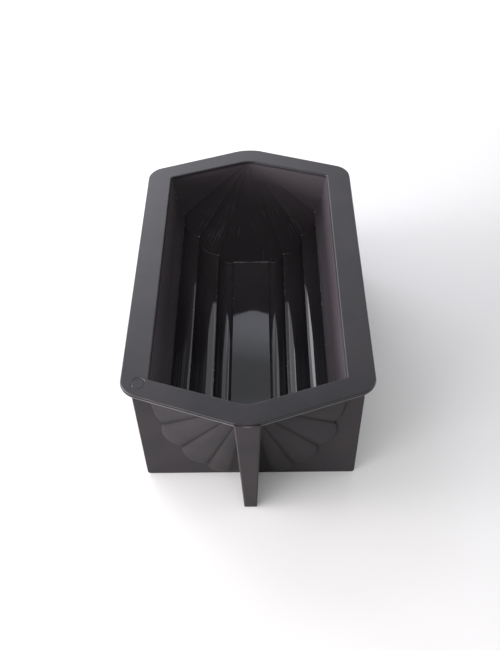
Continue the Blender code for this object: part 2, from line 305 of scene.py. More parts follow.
@dataclass(frozen=True)
class GlossSilicone:
    """The cavity: charcoal silicone, polished in the flutes and duller on the upper walls and fans.

    Faint streaks run with the flutes. Pale flecks on the ridges and creases and thin pale lines on the low
    fans are painted glints, and the rear of the cavity is painted lighter.
    """

    name: str = "gloss_silicone"
    deep: Colour = (0.0195, 0.0178, 0.0202)
    dull: Colour = (0.0485, 0.0418, 0.0470)
    pale: Colour = (0.26, 0.25, 0.26)
    middle: float = 0.1090                              # round the section, from the rim
    wall_depth: tuple[float, float] = (0.026, 0.037)    # the same, where the upper wall ends
    glint_line_depth: tuple[float, float] = (0.040, 0.055)   # the same, where the painted glint lines start
    glint_line_end: tuple[float, float] = (0.110, 0.130)     # along a fan, where they end
    fan_start: tuple[float, float] = (0.0815, 0.0850)   # along the mould
    painted_rear_light: tuple[float, float] = (-0.010, 0.085)        # along the mould, where painted light makes the rear of the cavity lighter
    roughness: float = 0.05
    dull_roughness: float = 0.22
    streak_width: float = 0.0008
    streak_length: float = 0.060
    streak_depth: float = 0.0000025
    glint_line_width: float = 0.0003
    glint_line_length: float = 0.022
    fleck_size: float = 0.0009
    patch_size: float = 0.016                           # of the patches where the glints are painted
    cloud_size: float = 0.015
    glint_line_level: tuple[float, float] = (0.69, 0.80)
    patch_level: tuple[float, float] = (0.48, 0.60)
    fleck_level: tuple[float, float] = (0.54, 0.68)
    streak_level: tuple[float, float] = (0.55, 0.80)
    ridge_glint: float = 0.5
    crease_glint: float = 0.6
    corner_glint: float = 0.6                            # where a ridge meets a crease
    haze_share: tuple[float, float] = (0.8, 0.4)        # everywhere, and what the clouds add
    streak_roughness: float = 0.03
    glint_roughness: float = 0.3
    streak_loss: float = 0.85                           # of the streaks where it is dull
    ior: float = 1.42

    def fans(self, graph: Graph) -> Value:
        """Return 1 on the fans and 0 between them."""
        return graph.mark(Mark.ALONG).size().above(*self.fan_start)

    def depth(self, graph: Graph) -> Value:
        """Return how far a place lies from the rim, round the section and on either side."""
        return self.middle - (graph.mark(Mark.ACROSS) - self.middle).size()

    def walls(self, graph: Graph) -> Value:
        """Return 1 on the straight upper walls and 0 below them."""
        return 1.0 - self.depth(graph).above(*self.wall_depth)

    def painted_glints(self, graph: Graph) -> Value:
        """Return the painted glints: pale flecks on the ridges and creases, and thin pale lines on the
        fans.

        Args:
            graph: The finish's node graph.

        Returns:
            How strongly a glint is painted at a place, from 0 up.
        """
        fans = self.fans(graph)
        along = graph.mark(Mark.ALONG).size()
        deep = self.depth(graph).above(*self.glint_line_depth)
        low_fans = fans * deep * (1.0 - along.above(*self.glint_line_end))
        glint_lines = graph.flow(self.glint_line_width, self.glint_line_length, detail=0.0).above(*self.glint_line_level)
        patches = graph.noise(self.patch_size, detail=1.0).above(*self.patch_level)
        flecks = graph.noise(self.fleck_size, detail=1.0).above(*self.fleck_level)
        ridge = graph.mark(Mark.RIDGE)
        crease = graph.mark(Mark.CREASE)
        ridge_and_crease_glints = (ridge * (1.0 - fans) * self.ridge_glint + crease * self.crease_glint) * patches
        return glint_lines * patches * low_fans + flecks * ridge_and_crease_glints + ridge * crease * self.corner_glint

    def material(self) -> bpy.types.Material:
        """Return the finish as a material.

        Returns:
            The material, ready for a mesh.
        """
        graph = Graph(self.name)
        dull = self.walls(graph).larger(self.fans(graph))
        # The colour is lighter on the duller walls and fans, and towards the rear as painted light
        dull_and_painted_light = dull.larger(graph.mark(Mark.ALONG).above(*self.painted_rear_light))
        streaks = graph.flow(self.streak_width, self.streak_length)
        clouds = graph.noise(self.cloud_size, detail=2.0)
        painted_glints = self.painted_glints(graph)
        everywhere, cloudy = self.haze_share
        plain = graph.mix(dull_and_painted_light * (clouds * cloudy + everywhere), self.deep, self.dull)
        streaked = streaks.above(*self.streak_level) * (1.0 - dull) * self.streak_roughness
        rough = dull * self.dull_roughness + (streaked + self.roughness)
        height = streaks * (1.0 - dull * self.streak_loss)
        bump = graph.node("ShaderNodeBump", {}, {"Strength": 1.0, "Distance": self.streak_depth,
                                                 "Height": height})
        # Painted glints: pale colour on the ridges, creases and low fans
        graph.dress(base_color=graph.mix(painted_glints, plain, self.pale),
                    roughness=rough + painted_glints * self.glint_roughness, normal=bump, ior=self.ior)
        return graph.material


@dataclass(frozen=True)
class PaleFloor:
    """The studio's matt white floor."""

    name: str = "pale_floor"
    colour: Colour = (0.76, 0.76, 0.76)
    paler: Colour = (0.78, 0.78, 0.78)
    cloud_size: float = 0.4
    roughness: float = 0.8

    def material(self) -> bpy.types.Material:
        """Return the finish as a material.

        Returns:
            The material, ready for a mesh.
        """
        graph = Graph(self.name)
        shade = graph.noise(self.cloud_size, detail=1.0)
        graph.dress(base_color=graph.mix(shade, self.colour, self.paler), roughness=self.roughness)
        return graph.material


# Mesh tools


@dataclass(frozen=True)
class Stroke:
    """A stretch of a profile in the XZ plane: a line, or an arc round a centre."""

    start: Vector
    end: Vector
    centre: Vector | None = None
    steps: int = 1
    ridge: bool = False

    def mirrored(self) -> "Stroke":
        """Return the stroke on the other side of the middle, drawn the other way round.

        Returns:
            The mirrored stroke.
        """
        def flip(point: Vector) -> Vector:
            """Mirror a point."""
            return Vector((-point.x, point.y))

        centre = self.centre and flip(self.centre)
        return Stroke(flip(self.end), flip(self.start), centre, self.steps, self.ridge)

    def reversed(self) -> "Stroke":
        """Return the same stroke, drawn the other way round."""
        return Stroke(self.end, self.start, self.centre, self.steps, self.ridge)

    def turn(self) -> float:
        """Return the arc's angle, the shorter way round, as a turn about +Y.

        Returns:
            The angle in radians.
        """
        first = self.start - self.centre
        last = self.end - self.centre
        turn = math.atan2(last.y, last.x) - math.atan2(first.y, first.x)
        return -((turn + math.pi) % (2 * math.pi) - math.pi)


def draw(shape: bmesh.types.BMesh, strokes: list[Stroke]) -> list[bmesh.types.BMVert]:
    """Draw joined strokes as a wire, with extruded and spun vertices.

    Args:
        shape: The mesh that the wire is added to.
        strokes: The strokes, each starting where the last one ended.

    Returns:
        The wire's vertices in order.
    """
    tip = shape.verts.new((strokes[0].start.x, 0.0, strokes[0].start.y))
    drawn = [tip]
    for stroke in strokes:
        if stroke.centre is None:
            tip = bmesh.ops.extrude_vert_indiv(shape, verts=[tip])["verts"][0]
            tip.co = (stroke.end.x, 0.0, stroke.end.y)
            drawn.append(tip)
            continue
        for _ in range(stroke.steps):
            made = bmesh.ops.spin(shape, geom=[tip], cent=(stroke.centre.x, 0.0, stroke.centre.y),
                                  axis=(0.0, 1.0, 0.0), angle=stroke.turn() / stroke.steps, steps=1)
            tip = next(item for item in made["geom_last"] if isinstance(item, bmesh.types.BMVert))
            drawn.append(tip)
    return drawn


def new_verts(geometry: dict) -> list[bmesh.types.BMVert]:
    """Return the vertices that an operator made."""
    return [item for item in geometry["geom"] if isinstance(item, bmesh.types.BMVert)]


def bevel(shape: bmesh.types.BMesh, geometry: list, width: float, steps: int,
          what: Round = Round.EDGES) -> None:
    """Round edges, or corners, to one width in a number of segments."""
    bmesh.ops.bevel(shape, geom=geometry, offset=width, segments=steps, profile=0.5,
                    affect=what.value, material=-1)


def thicken(shape: bmesh.types.BMesh, faces: list[bmesh.types.BMFace],
            move: Vector) -> list[bmesh.types.BMVert]:
    """Extrude faces, keep the first ones and move the copy.

    Args:
        shape: The mesh.
        faces: The faces.
        move: How far the copy goes.

    Returns:
        The copy's vertices.
    """
    copy = new_verts(bmesh.ops.extrude_face_region(shape, geom=faces, use_keep_orig=True))
    bmesh.ops.translate(shape, vec=move, verts=copy)
    return copy


def advance(shape: bmesh.types.BMesh, face: bmesh.types.BMFace,
            first: bool) -> tuple[bmesh.types.BMFace, list[bmesh.types.BMVert]]:
    """Extrude a section by one step, leaving only the first one behind as a cap.

    Args:
        shape: The mesh.
        face: The section's face.
        first: Whether this is the first step.

    Returns:
        The new face and its vertices.
    """
    grown = bmesh.ops.extrude_face_region(shape, geom=[face], use_keep_orig=first)
    if not first:
        bmesh.ops.delete(shape, geom=[face], context="FACES_ONLY")
    ahead = next(item for item in grown["geom"] if isinstance(item, bmesh.types.BMFace))
    return ahead, new_verts(grown)


def settle(piece: bpy.types.Object) -> None:
    """Apply a piece's modifiers to its mesh.

    Args:
        piece: The object.
    """
    bpy.context.view_layer.update()
    made = bpy.data.meshes.new_from_object(piece.evaluated_get(bpy.context.evaluated_depsgraph_get()))
    old = piece.data
    piece.modifiers.clear()
    piece.data = made
    bpy.data.meshes.remove(old)


def carve(piece: bpy.types.Object, cutter: bpy.types.Object, cut: Cut = Cut.TAKE_AWAY) -> None:
    """Apply an exact Boolean to a piece's mesh.

    Args:
        piece: The object whose mesh is changed.
        cutter: The tool.
        cut: What the tool does.
    """
    step = piece.modifiers.new("carve", "BOOLEAN")
    step.operation = cut.value
    step.solver = "EXACT"
    step.object = cutter
    settle(piece)


def finish_piece(name: str, shape: bmesh.types.BMesh,
                 finishes: list[bpy.types.Material]) -> bpy.types.Object:
    """Turn a bmesh into an object of the scene with its finishes.

    Args:
        name: The object's name.
        shape: The mesh, which is freed.
        finishes: Its finishes in order.

    Returns:
        The object.
    """
    bmesh.ops.recalc_face_normals(shape, faces=shape.faces)
    mesh = bpy.data.meshes.new(name)
    shape.to_mesh(mesh)
    shape.free()
    for finish in finishes:
        mesh.materials.append(finish)
    piece = bpy.data.objects.new(name, mesh)
    bpy.context.scene.collection.objects.link(piece)
    return piece


def hand_over(piece: bpy.types.Object, slot: Slot, *nodes: str) -> bpy.types.Object:
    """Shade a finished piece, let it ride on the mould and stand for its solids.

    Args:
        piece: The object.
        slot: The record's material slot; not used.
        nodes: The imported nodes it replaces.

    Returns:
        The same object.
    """
    piece.data.shade_smooth()
    piece.data.set_sharp_from_angle(angle=SHARP_ANGLE)
    flats = piece.modifiers.new("flats", "WEIGHTED_NORMAL")
    flats.keep_sharp = True
    settle(piece)
    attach(piece, "root")
    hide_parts(*nodes)
    LOG.info("%s stands for %s: %d faces", piece.name, ", ".join(nodes), len(piece.data.polygons))
    return piece


# The mould


@dataclass(frozen=True)
class FlutedSection:
    """The cavity's cross section, as straight upper walls, four flutes a side and a flat floor."""

    rim_height: float = 0.0800
    floor_height: float = 0.0050
    half_opening: float = 0.0500
    half_floor: float = 0.0120
    ridge_radius: float = 0.0006
    upper_wall: tuple[float, float] = (0.945, 0.280)
    flute_ends: tuple[tuple[float, float], ...] = ((0.860, 0.404), (0.696, 0.677), (0.446, 0.904))
    flute_bulges: tuple[float, ...] = (0.240, 0.250, 0.300)
    arc_steps: int = 22
    ridge_steps: int = 6

    def place(self, shares: tuple[float, float]) -> Vector:
        """Return a point from its shares of the opening's half width and of the cavity's depth."""
        depth = self.rim_height - self.floor_height
        return Vector((self.half_opening * shares[0], self.rim_height - depth * shares[1]))

    def wall_foot(self) -> tuple[Vector, Vector]:
        """Return the foot of the straight upper wall and the wall's outward normal.

        Returns:
            The foot and the normal.
        """
        foot = self.place(self.upper_wall)
        run = (foot - self.place((1.0, 0.0))).normalized()
        return foot, Vector((-run.y, run.x))

    def circles(self) -> list[tuple[Vector, float]]:
        """Return each flute's centre and radius, from the rim down.

        Returns:
            The circles in order.
        """
        foot, normal = self.wall_foot()
        ends = [self.place(shares) for shares in self.flute_ends]
        ends.append(Vector((self.half_floor, self.floor_height)))
        chord = ends[0] - foot
        radius = chord.length_squared / (-2 * chord.dot(normal))
        circles = [(foot - normal * radius, radius)]
        for start, end, bulge in zip(ends, ends[1:], self.flute_bulges):
            chord = end - start
            rise = bulge * chord.length
            radius = (chord.length_squared / 4 + rise ** 2) / (2 * rise)
            outward = Vector((-chord.y, chord.x)).normalized()
            circles.append((start + chord / 2 - outward * (radius - rise), radius))
        return circles

    def ridge_centre(self, circle: tuple[Vector, float], below: tuple[Vector, float] | None,
                     offset: float) -> Vector:
        """Return the centre of the rounding between a flute and what lies below it.

        Args:
            circle: The flute's centre and radius.
            below: The next flute's, or None above the floor.
            offset: How far the section is grown outwards.

        Returns:
            The centre.
        """
        centre, radius = circle
        reach = radius + offset + self.ridge_radius
        if below is None:
            level = self.floor_height - offset - self.ridge_radius
            return Vector((centre.x - math.sqrt(reach ** 2 - (centre.y - level) ** 2), level))
        across = below[0] - centre
        other = below[1] + offset + self.ridge_radius
        along = (reach ** 2 - other ** 2 + across.length_squared) / (2 * across.length)
        aside = math.sqrt(max(reach ** 2 - along ** 2, 0.0))
        step = across.normalized()
        return centre + step * along + Vector((-step.y, step.x)) * aside

    def half(self, offset: float, middle: float) -> list[Stroke]:
        """Return the right half of the section, from the rim down and in to the floor.

        Args:
            offset: How far the section is grown outwards.
            middle: Where the floor ends, from the middle of the mould.

        Returns:
            The strokes in order.
        """
        foot, normal = self.wall_foot()
        start = foot + normal * offset
        top = Vector((start.x - (self.rim_height - start.y) * normal.y / normal.x, self.rim_height))
        strokes = [Stroke(top, start)]
        circles = self.circles()
        for circle, below in zip(circles, circles[1:] + [None]):
            ridge = self.ridge_centre(circle, below, offset)
            grown = circle[1] + offset
            end = circle[0] + (ridge - circle[0]) * (grown / (grown + self.ridge_radius))
            strokes.append(Stroke(start, end, circle[0], self.arc_steps))
            if below:
                grown = below[1] + offset
                start = below[0] + (ridge - below[0]) * (grown / (grown + self.ridge_radius))
            else:
                start = ridge + Vector((0.0, self.ridge_radius))
            strokes.append(Stroke(end, start, ridge, self.ridge_steps, ridge=True))
        strokes.append(Stroke(start, Vector((middle, start.y))))
        return strokes


@dataclass(frozen=True)
class Station:
    """Where a wall's section stands along the mould, and its size as a share of the full one."""

    along: float
    share: float


@dataclass(frozen=True)
class LoafBody:
    """The moulded body: two fluted sides, a floor strip, and a fan at each end."""

    section: FlutedSection
    cavity_finish: bpy.types.Material
    outside_finish: bpy.types.Material
    wall: float = 0.0017
    underside: float = 0.0780        # of the rim, where the body ends
    inner_crease: float = 0.08335    # where the cavity starts to close
    inner_point: float = 0.1000
    inner_round: float = 0.0005      # what the crease's rounding takes off either side
    outer_crease: float = 0.0888
    outer_point: float = 0.1017
    outer_round: float = 0.0010
    crease_reach: float = 0.0036     # how far the painted shade of the outside's creases reaches onto the lobes beside them
    seam: float = 0.0820             # between the sides and the fans
    floor_seam: float = 0.0115       # between the sides and the floor strip
    strip_mark: float = 0.1090       # how far round the section the strip's middle lies
    sag: float = 0.0024              # of the floor, in the middle of its length
    cut_margin: float = 1e-7         # within which a vertex lies on the cut under the rim
    fan_ease: float = 1.5            # how much closer the stations stand towards a fan's point
    side_steps: int = 44
    round_steps: int = 8
    fan_steps: int = 10

    def wall_strokes(self, middle: float) -> tuple[list[Stroke], list[Stroke]]:
        """Return the right half of the wall's section: its cavity side and its outer side.

        Args:
            middle: Where the floor ends, from the middle of the mould.

        Returns:
            The strokes of each side.
        """
        cavity = self.section.half(0.0, middle)
        outside = [stroke.reversed() for stroke in reversed(self.section.half(self.wall, middle))]
        return cavity, outside

    def half_face(self, shape: bmesh.types.BMesh, middle: float) -> bmesh.types.BMFace:
        """Draw the right half of the wall's section as one face.

        Args:
            shape: The empty mesh.
            middle: Where the floor ends, from the middle of the mould.

        Returns:
            The face.
        """
        cavity, outside = self.wall_strokes(middle)
        link = Stroke(cavity[-1].end, outside[0].start)
        return self.face_of(shape, cavity + [link], outside)

    def whole_face(self, shape: bmesh.types.BMesh) -> bmesh.types.BMFace:
        """Draw the wall's whole section as one face.

        Args:
            shape: The empty mesh.

        Returns:
            The face.
        """
        cavity, outside = self.wall_strokes(0.0)
        cavity = cavity + [stroke.mirrored() for stroke in reversed(cavity)]
        outside = [stroke.mirrored() for stroke in reversed(outside)] + outside
        link = Stroke(cavity[-1].end, outside[0].start)
        return self.face_of(shape, cavity + [link], outside)

    def face_of(self, shape: bmesh.types.BMesh, cavity: list[Stroke],
                outside: list[Stroke]) -> bmesh.types.BMFace:
        """Close a profile into a face, and mark its vertices.

        Args:
            shape: The empty mesh.
            cavity: The strokes of the cavity side.
            outside: The strokes of the outer side.

        Returns:
            The face.
        """
        # Every layer is made before the first vertex, because a new one ends what points at them
        skin = shape.verts.layers.int.new("skin")
        across, _, ridge, _ = [mark.layer(shape) for mark in Mark]
        drawn = draw(shape, cavity + outside)
        count = sum(stroke.steps for stroke in cavity)
        for vert in drawn[:count]:
            vert[skin] = Skin.CAVITY.value
        for vert in drawn[count:]:
            vert[skin] = Skin.OUTSIDE.value
        for before, vert in zip(drawn, drawn[1:]):
            vert[across] = before[across] + (vert.co - before.co).length
        number = 0
        for stroke in cavity + outside:
            for vert in drawn[number:number + stroke.steps + 1]:
                vert[ridge] = max(vert[ridge], float(stroke.ridge))
            number += stroke.steps
        # On the outside the ridge layer holds painted shade, fading away from the creases
        creases = [vert.co.copy() for vert in drawn[count:] if vert[ridge]]
        for vert in drawn[count:]:
            away = min((vert.co - place).length for place in creases)
            vert[ridge] = max(1.0 - away / self.crease_reach, 0.0) ** 2
        return shape.faces.new(drawn)

    def rounding(self, crease: float, point: float, width: float, reach: float) -> list[Station]:
        """Return the stations over the rounded edge where a fan starts to close.

        Args:
            crease: Where the edge would be without its rounding.
            point: Where the fan comes to its point.
            width: What the rounding takes off either side of the edge.
            reach: The section's half width there.

        Returns:
            The stations in order.
        """
        share = width / reach
        stations = []
        for i in range(self.round_steps + 1):
            t = i / self.round_steps
            along = crease - width * (1 - t) ** 2 + (point - crease) * share * t ** 2
            stations.append(Station(along, 1.0 - share * t ** 2))
        return stations

    def fan_stations(self) -> list[tuple[Station, Station]]:
        """Return the stations of a fan, for its cavity side and its outer side together.

        Returns:
            The pairs of stations in order.
        """
        inner = self.rounding(self.inner_crease, self.inner_point, self.inner_round,
                              self.section.half_opening)
        outer = self.rounding(self.outer_crease, self.outer_point, self.outer_round,
                              self.section.half_opening + self.wall)
        pairs = list(zip(inner, outer))
        last_inner, last_outer = pairs[-1]
        for i in range(1, self.fan_steps + 1):
            left = (1.0 - i / self.fan_steps) ** self.fan_ease
            pairs.append((
                Station(self.inner_point + (last_inner.along - self.inner_point) * left,
                        last_inner.share * left),
                Station(self.outer_point + (last_outer.along - self.outer_point) * left,
                        last_outer.share * left)))
        return pairs

    def move_ring(self, shape: bmesh.types.BMesh, verts: list[bmesh.types.BMVert],
                  was: tuple[Station, Station], now: tuple[Station, Station]) -> None:
        """Move a ring of the wall from one pair of stations to the next.

        Args:
            shape: The mesh.
            verts: The ring's vertices.
            was: The pair of stations it stands at.
            now: The pair it goes to.
        """
        skin = shape.verts.layers.int["skin"]
        along = Mark.ALONG.layer(shape)
        for before, after, surface in zip(was, now, (Skin.CAVITY, Skin.OUTSIDE)):
            chosen = [vert for vert in verts if vert[skin] == surface.value]
            ratio = after.share / before.share
            centre = Matrix.Translation((0.0, 0.0, -self.section.rim_height))
            bmesh.ops.scale(shape, vec=(ratio, 1.0, ratio), space=centre, verts=chosen)
            bmesh.ops.translate(shape, vec=(0.0, after.along - before.along, 0.0), verts=chosen)
            for vert in chosen:
                vert[along] = after.along + (1.0 - after.share) * self.section.half_opening

    def close_top(self, shape: bmesh.types.BMesh) -> None:
        """Cut the body off level under the rim and close the cut.

        Args:
            shape: The mesh.
        """
        everything = shape.verts[:] + shape.edges[:] + shape.faces[:]
        bmesh.ops.bisect_plane(shape, geom=everything, dist=self.cut_margin,
                               plane_co=(0.0, 0.0, self.underside), plane_no=(0.0, 0.0, 1.0),
                               clear_outer=True)
        rim = [edge for edge in shape.edges if edge.is_boundary]
        bmesh.ops.contextual_create(shape, geom=rim)

    def let_sag(self, shape: bmesh.types.BMesh) -> None:
        """Let the soft body sag between the panels, from nothing at the rim to most at the floor.

        Args:
            shape: The mesh.
        """
        depth = self.section.rim_height - self.section.floor_height
        along = Mark.ALONG.layer(shape)
        for vert in shape.verts:
            vert[along] = vert.co.y
            run = min(abs(vert.co.y) / self.inner_crease, 1.0)
            weight = min(max((self.underside - vert.co.z) / depth, 0.0), 1.0)
            vert.co.z -= self.sag * (1.0 - run ** 2) ** 2 * weight

    def paint_skins(self, shape: bmesh.types.BMesh) -> None:
        """Give each face the finish of the surface that it is on.

        Args:
            shape: The mesh.
        """
        skin = shape.verts.layers.int["skin"]
        for face in shape.faces:
            outside = any(vert[skin] == Skin.OUTSIDE.value for vert in face.verts)
            face.material_index = Skin.OUTSIDE.value if outside else Skin.CAVITY.value

    def straight(self, name: str, shape: bmesh.types.BMesh, face: bmesh.types.BMFace) -> bpy.types.Object:
        """Extrude a section between the two seams and finish it as a piece.

        Args:
            name: The piece's name.
            shape: The mesh.
            face: The section, at the middle of the mould.

        Returns:
            The piece.
        """
        bmesh.ops.translate(shape, vec=(0.0, -self.seam, 0.0), verts=face.verts)
        step = 2 * self.seam / self.side_steps
        for i in range(self.side_steps):
            face, verts = advance(shape, face, i == 0)
            bmesh.ops.translate(shape, vec=(0.0, step, 0.0), verts=verts)
        self.close_top(shape)
        self.let_sag(shape)
        self.paint_skins(shape)
        return finish_piece(name, shape, [self.cavity_finish, self.outside_finish])

    def fluted_side(self, side: Side) -> bpy.types.Object:
        """Make one fluted side.

        Args:
            side: Which one.

        Returns:
            The piece.
        """
        shape = bmesh.new()
        face = self.half_face(shape, self.floor_seam)
        if side is Side.LEFT:
            bmesh.ops.scale(shape, vec=(-1.0, 1.0, 1.0), verts=shape.verts)
        piece = self.straight(side.word + "_flutes", shape, face)
        return hand_over(piece, Slot.GLOSS, side.word + "_fluted_side")

    def floor_strip(self) -> bpy.types.Object:
        """Make the flat strip along the bottom.

        Returns:
            The piece.
        """
        shape = bmesh.new()
        skin = shape.verts.layers.int.new("skin")
        across = Mark.ACROSS.layer(shape)
        top = self.section.floor_height
        corners = ((-self.floor_seam, top), (self.floor_seam, top), (self.floor_seam, top - self.wall),
                   (-self.floor_seam, top - self.wall))
        verts = [shape.verts.new((x, 0.0, z)) for x, z in corners]
        for vert in verts[2:]:
            vert[skin] = Skin.OUTSIDE.value
        for vert in verts:
            vert[across] = self.strip_mark + vert.co.x
        face = shape.faces.new(verts)
        piece = self.straight("bottom_strip", shape, face)
        return hand_over(piece, Slot.GLOSS, "floor_strip")

    def fan(self, end: End) -> bpy.types.Object:
        """Make the fan that closes one end.

        Args:
            end: Which end.

        Returns:
            The piece.
        """
        shape = bmesh.new()
        face = self.whole_face(shape)
        along = Mark.ALONG.layer(shape)
        crease = Mark.CREASE.layer(shape)
        bmesh.ops.translate(shape, vec=(0.0, self.seam, 0.0), verts=face.verts)
        was = (Station(self.seam, 1.0), Station(self.seam, 1.0))
        for i, now in enumerate(self.fan_stations()):
            face, ring = advance(shape, face, i == 0)
            self.move_ring(shape, ring, was, now)
            rounded = math.sin(math.pi * min(i / self.round_steps, 1.0))
            for vert in ring:
                vert[crease] = rounded
            was = now
        bmesh.ops.delete(shape, geom=[face], context="FACES_ONLY")
        bmesh.ops.remove_doubles(shape, verts=shape.verts, dist=NEAR)
        self.close_top(shape)
        self.paint_skins(shape)
        if end is End.FRONT:
            bmesh.ops.scale(shape, vec=(1.0, -1.0, 1.0), verts=shape.verts)
            for vert in shape.verts:
                vert[along] = -vert[along]
        piece = finish_piece(end.word + "_fan", shape, [self.cavity_finish, self.outside_finish])
        return hand_over(piece, Slot.GLOSS, end.word + "_fan_end")

    def core(self) -> bpy.types.Object:
        """Make the body's form to the middle of its wall, which the panels and fins are cut with.

        Returns:
            The form, which is deleted after use.
        """
        shape = bmesh.new()
        half = self.section.half(self.wall / 2, 0.0)
        drawn = draw(shape, half + [stroke.mirrored() for stroke in reversed(half)])
        face = shape.faces.new(drawn)
        inner = self.inner_crease - self.inner_round
        outer = self.outer_crease - self.outer_round
        crease = (inner + outer) / 2
        point = (self.inner_point + self.outer_point) / 2
        bmesh.ops.translate(shape, vec=(0.0, crease, 0.0), verts=face.verts)
        thicken(shape, [face], Vector((0.0, -2 * crease, 0.0)))
        # The sides of the form have four corners each, so what has more is a cap
        for cap in [item for item in shape.faces if len(item.verts) > 4]:
            side = 1.0 if cap.calc_center_median().y > 0 else -1.0
            tip = bmesh.ops.poke(shape, faces=[cap])["verts"][0]
            tip.co = (0.0, side * point, self.section.rim_height)
        return finish_piece("body_core", shape, [])

    def build(self) -> None:
        """Make every piece of the body."""
        for side in Side:
            self.fluted_side(side)
        self.floor_strip()
        for end in End:
            self.fan(end)


@dataclass(frozen=True)
class Hexagon:
    """A pointed six-sided outline with rounded corners."""

    half_width: float
    crease: float
    point: float
    corner_radius: float
    point_radius: float
    steps: int = 14

    def lean(self) -> float:
        """Return how far the slanted edges turn from straight across."""
        return math.atan2(self.point - self.crease, self.half_width)

    def grown(self, width: float) -> "Hexagon":
        """Return the outline that lies one width outside this one.

        Args:
            width: The width; below 0 the new outline lies inside.

        Returns:
            The new outline.
        """
        lean = self.lean()
        point = self.point + width / math.cos(lean)
        half_width = self.half_width + width
        return Hexagon(half_width, point - half_width * math.tan(lean), point,
                       self.corner_radius + width, self.point_radius + width, self.steps)

    def draw(self, shape: bmesh.types.BMesh, height: float) -> list[bmesh.types.BMEdge]:
        """Draw the outline level at a height.

        Args:
            shape: The mesh that the outline is added to, which has no faces yet.
            height: Its height above the table.

        Returns:
            The outline's edges.
        """
        corners = [(self.half_width, -self.crease), (self.half_width, self.crease), (0.0, self.point),
                   (-self.half_width, self.crease), (-self.half_width, -self.crease), (0.0, -self.point)]
        verts = [shape.verts.new((x, y, height)) for x, y in corners]
        shape.faces.new(verts)
        lean = self.lean()
        # Corners 2 and 5 are the two points of the outline
        for group, radius, half_angle in (
                ([verts[i] for i in (0, 1, 3, 4)], self.corner_radius, math.pi / 4 + lean / 2),
                ([verts[i] for i in (2, 5)], self.point_radius, math.pi / 2 - lean)):
            bevel(shape, group, radius / math.tan(half_angle), self.steps, Round.CORNERS)
        face = shape.faces[:][0]
        edges = list(face.edges)
        bmesh.ops.delete(shape, geom=[face], context="FACES_ONLY")
        return edges


